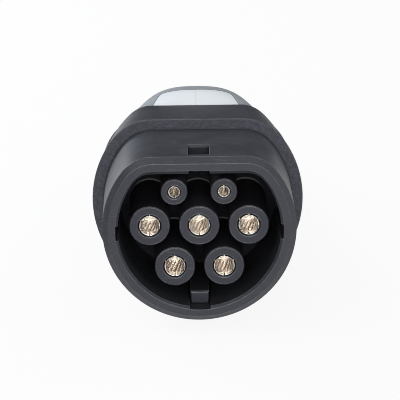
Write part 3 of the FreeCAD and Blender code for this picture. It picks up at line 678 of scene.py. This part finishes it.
class CONNECTOR_OT_gland(bpy.types.Operator):
    """Finish the cable gland at the rear"""

    bl_idname = "connector.gland"
    bl_label = "Finish the cable gland"

    def execute(self, context):
        plastic = moulded_plastic("Gland plastic", context.scene.connector_finishes.gland)
        finish_node("gland_nut", plastic)
        finish_node("gland_body", plastic)
        return {"FINISHED"}


class CONNECTOR_OT_inner_pieces(bpy.types.Operator):
    """Finish the seals, screws and the pieces inside the handle"""

    bl_idname = "connector.inner_pieces"
    bl_label = "Finish the inner pieces"

    def execute(self, context):
        finish = context.scene.connector_finishes
        rubber = moulded_plastic("Seal rubber", finish.rubber, roughness=0.7, specular=0.35)
        inner = moulded_plastic("Inner plastic", finish.inner, roughness=0.55)
        steel = plated_metal("Screw steel", finish.steel, roughness=0.35)
        glaze = moulded_plastic("Resistor glaze", finish.resistor, roughness=0.3, dust=0.0)
        for node in ("carrier_seal", "housing_gasket", "gland_seal"):
            finish_node(node, rubber)
        for node in ("contact_retainer", "cable_clamp", "gland_claw"):
            finish_node(node, inner)
        for node in ("retainer_screws", "shell_screws", "clamp_screws"):
            finish_node(node, steel)
        finish_node("coding_resistor", glaze)
        return {"FINISHED"}


def softbox(name, place, size, power, colour):
    """Rectangular area light at a place, turned to the connector."""
    data = bpy.data.lights.new(name, "AREA")
    data.shape = "RECTANGLE"
    data.size, data.size_y = size
    data.energy = power
    data.color = colour
    lamp = bpy.data.objects.new(name, data)
    bpy.context.scene.collection.objects.link(lamp)
    lamp.location = place
    lamp.rotation_euler = (Vector(LIGHT_TARGET) - Vector(place)).to_track_quat("-Z", "Y").to_euler()


def seen_rays(graph):
    """1 for rays from the camera, and for those seen in metal, gloss or glass."""
    path = graph.node("ShaderNodeLightPath")
    either = graph.math("MAXIMUM", path.outputs["Is Camera Ray"], path.outputs["Is Glossy Ray"])
    return graph.math("MAXIMUM", either, path.outputs["Is Transmission Ray"])


def white_world(strength):
    """White where the world is seen, and dimmer where it only lights the object."""
    world = bpy.data.worlds.new("Studio")
    world.use_nodes = True
    world.node_tree.nodes.clear()
    graph = Graph(world.node_tree)
    level = graph.span(seen_rays(graph), 0.0, 1.0, strength, 1.0)
    background = graph.node("ShaderNodeBackground", {"Color": rgba(WHITE), "Strength": level})
    graph.node("ShaderNodeOutputWorld", {"Surface": background.outputs[0]})
    bpy.context.scene.world = world


def board(name, material_name, outline):
    """Flat board with four corners and an empty material, as (board, its material's graph)."""
    mesh = bpy.data.meshes.new(name)
    mesh.from_pydata(outline, [], [(0, 1, 2, 3)])
    made = bpy.data.objects.new(name, mesh)
    bpy.context.scene.collection.objects.link(made)
    material = bpy.data.materials.new(material_name)
    material.use_nodes = True
    material.node_tree.nodes.clear()
    mesh.materials.append(material)
    return made, Graph(material.node_tree)


def pale_floor(height, share):
    """Wide floor that looks white to the camera and keeps a soft shadow."""
    half = FLOOR_HALF
    floor, graph = board("studio_floor", "Studio floor", [
        (-half, -half, height), (half, -half, height), (half, half, height), (-half, half, height),
    ])
    matt = graph.node("ShaderNodeBsdfDiffuse", {"Color": rgba(FLOOR_GREY)})
    white = graph.node("ShaderNodeEmission", {"Color": rgba(WHITE), "Strength": 1.0})
    mix = graph.node("ShaderNodeMixShader", {
        0: graph.product(seen_rays(graph), share), 1: matt.outputs[0], 2: white.outputs[0],
    })
    graph.node("ShaderNodeOutputMaterial", {"Surface": mix.outputs[0]})


def dark_flag(name, outline):
    """Black board that only reflections meet, so that gloss isn't washed out from its side."""
    flag, graph = board(name, name, outline)
    black = graph.node("ShaderNodeBsdfDiffuse", {"Color": rgba(FLAG_BLACK)})
    graph.node("ShaderNodeOutputMaterial", {"Surface": black.outputs[0]})
    flag.visible_camera = False
    flag.visible_diffuse = False
    flag.visible_transmission = False
    flag.visible_shadow = False


def dark_flags():
    """One flag behind the connector, slanted at its foot, and one beside the shroud."""
    dark_flag("back_flag", [
        (-BACK_FLAG_HALF, BACK_FLAG_Y, BACK_FLAG_LEFT_FOOT),
        (BACK_FLAG_HALF, BACK_FLAG_Y, FLOOR),
        (BACK_FLAG_HALF, BACK_FLAG_Y, BACK_FLAG_TOP),
        (-BACK_FLAG_HALF, BACK_FLAG_Y, BACK_FLAG_TOP),
    ])
    dark_flag("side_flag", [
        (SIDE_FLAG_X, SIDE_FLAG_FRONT, FLOOR),
        (SIDE_FLAG_X, SIDE_FLAG_BACK, FLOOR),
        (SIDE_FLAG_X, SIDE_FLAG_BACK, SIDE_FLAG_TOP),
        (SIDE_FLAG_X, SIDE_FLAG_FRONT, SIDE_FLAG_TOP),
    ])


def photo_camera(stage):
    """Camera at the photograph's viewing angle, aimed just above the centre of the mating face."""
    forward = Vector((
        math.sin(stage.yaw) * math.cos(stage.elevation),
        math.cos(stage.yaw) * math.cos(stage.elevation),
        -math.sin(stage.elevation),
    ))
    level_right = forward.cross(UP).normalized()
    level_up = level_right.cross(forward)
    right = level_right * math.cos(stage.roll) - level_up * math.sin(stage.roll)
    up = level_up * math.cos(stage.roll) + level_right * math.sin(stage.roll)
    data = bpy.data.cameras.new("photo_camera")
    data.sensor_width = SENSOR_WIDTH
    data.lens = stage.lens
    data.clip_start = NEAREST_SEEN
    data.clip_end = FARTHEST_SEEN
    camera = bpy.data.objects.new("photo_camera", data)
    bpy.context.scene.collection.objects.link(camera)
    place = -forward * stage.distance + right * stage.shift_right + up * stage.shift_up
    camera.matrix_world = Matrix((
        (right.x, up.x, -forward.x, place.x),
        (right.y, up.y, -forward.y, place.y),
        (right.z, up.z, -forward.z, place.z),
        (0.0, 0.0, 0.0, 1.0),
    ))
    bpy.context.scene.camera = camera


class CONNECTOR_OT_stage(bpy.types.Operator):
    """Set up the floor, the lights and the camera"""

    bl_idname = "connector.stage"
    bl_label = "Set the stage"

    def execute(self, context):
        stage = context.scene.connector_stage
        context.scene.view_settings.view_transform = "Standard"
        context.scene.cycles.filter_width = PIXEL_FILTER
        white_world(stage.ambient)
        pale_floor(FLOOR, stage.floor_white)
        for name, place, size, power, colour in LIGHTS:
            softbox(name, place, size, getattr(stage, power), colour)
        dark_flags()
        photo_camera(stage)
        return {"FINISHED"}


class CONNECTOR_PT_panel(bpy.types.Panel):
    """Sizes, colours and steps of the connector"""

    bl_idname = "CONNECTOR_PT_panel"
    bl_label = "Charging connector"
    bl_space_type = "VIEW_3D"
    bl_region_type = "UI"
    bl_category = "Connector"

    def draw(self, context):
        layout = self.layout
        for group in (context.scene.connector_finishes, context.scene.connector_stage):
            box = layout.box()
            for key in group.__annotations__:
                box.prop(group, key)
        for step in STEPS:
            layout.operator(step.bl_idname)


STEPS = (
    CONNECTOR_OT_front_housing,
    CONNECTOR_OT_contact_carrier,
    CONNECTOR_OT_contacts,
    CONNECTOR_OT_handle,
    CONNECTOR_OT_label,
    CONNECTOR_OT_gland,
    CONNECTOR_OT_inner_pieces,
    CONNECTOR_OT_stage,
)
CLASSES = (ConnectorFinishes, ConnectorStage) + STEPS + (CONNECTOR_PT_panel,)


def register():
    for item in CLASSES:
        bpy.utils.register_class(item)
    bpy.types.Scene.connector_finishes = bpy.props.PointerProperty(type=ConnectorFinishes)
    bpy.types.Scene.connector_stage = bpy.props.PointerProperty(type=ConnectorStage)


def unregister():
    del bpy.types.Scene.connector_stage
    del bpy.types.Scene.connector_finishes
    for item in reversed(CLASSES):
        bpy.utils.unregister_class(item)


def main():
    register()
    for step in STEPS:
        group, name = step.bl_idname.split(".")
        getattr(getattr(bpy.ops, group), name)()


if __name__ == "__main__":
    main()
